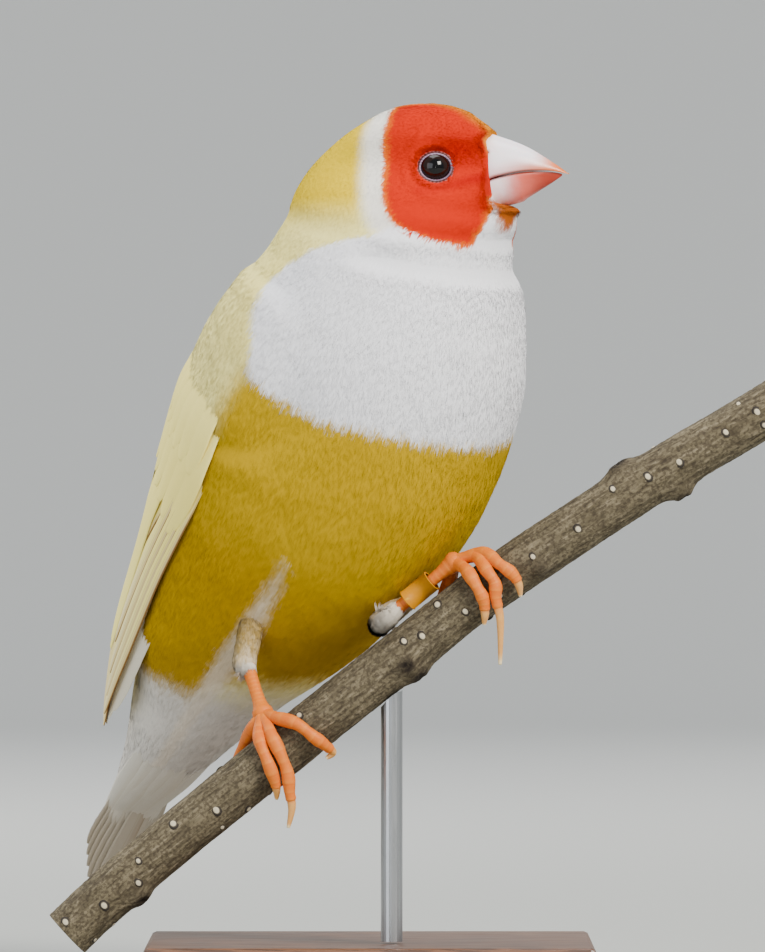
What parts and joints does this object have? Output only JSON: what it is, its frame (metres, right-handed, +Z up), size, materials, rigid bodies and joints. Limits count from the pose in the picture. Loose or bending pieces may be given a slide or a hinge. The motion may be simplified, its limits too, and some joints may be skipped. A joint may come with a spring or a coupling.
{
  "type": "gouldian finch model",
  "caption": "Life-size still model of a Gouldian finch perched on a short cut length of branch, held by a rod on a plain flat base.",
  "frame": {"origin": "middle of the underside of the stand's base", "axes": "+Z up; +X to the right as the viewer sees it, the way the bill points; -Y toward the viewer"},
  "size_m": [0.1065, 0.064, 0.1208],
  "materials": {
    "head_feathers": "short dense feathers, orange-red",
    "white_feathers": "soft white feathers",
    "body_feathers": "white breast and golden yellow belly feathers",
    "cream_feathers": "smooth cream wing feathers",
    "bill_horn": "pinkish white horn with a coral tip, satin",
    "eye": "dark brown, wet gloss",
    "leg_skin": "orange-pink scaly skin, claws paler",
    "ring_yellow": "golden yellow, satin",
    "bark": "grey-brown bark with pale pores",
    "stand_steel": "satin steel",
    "stand_wood": "dark oiled wood"
  },
  "bodies": {
    "root": {"head": "head_feathers", "neck": "white_feathers", "torso": "body_feathers", "wing_right": "cream_feathers", "wing_left": "cream_feathers", "tail": "white_feathers", "beak_upper": "bill_horn", "beak_lower": "bill_horn", "eye_right": "eye", "eye_left": "eye", "thigh_right": "white_feathers", "thigh_left": "white_feathers", "shank_right": "leg_skin", "shank_left": "leg_skin", "foot_right": "leg_skin", "foot_left": "leg_skin", "leg_ring": "ring_yellow", "perch": "bark", "stand_rod": "stand_steel", "stand_base": "stand_wood"}
  },
  "joints": []
}
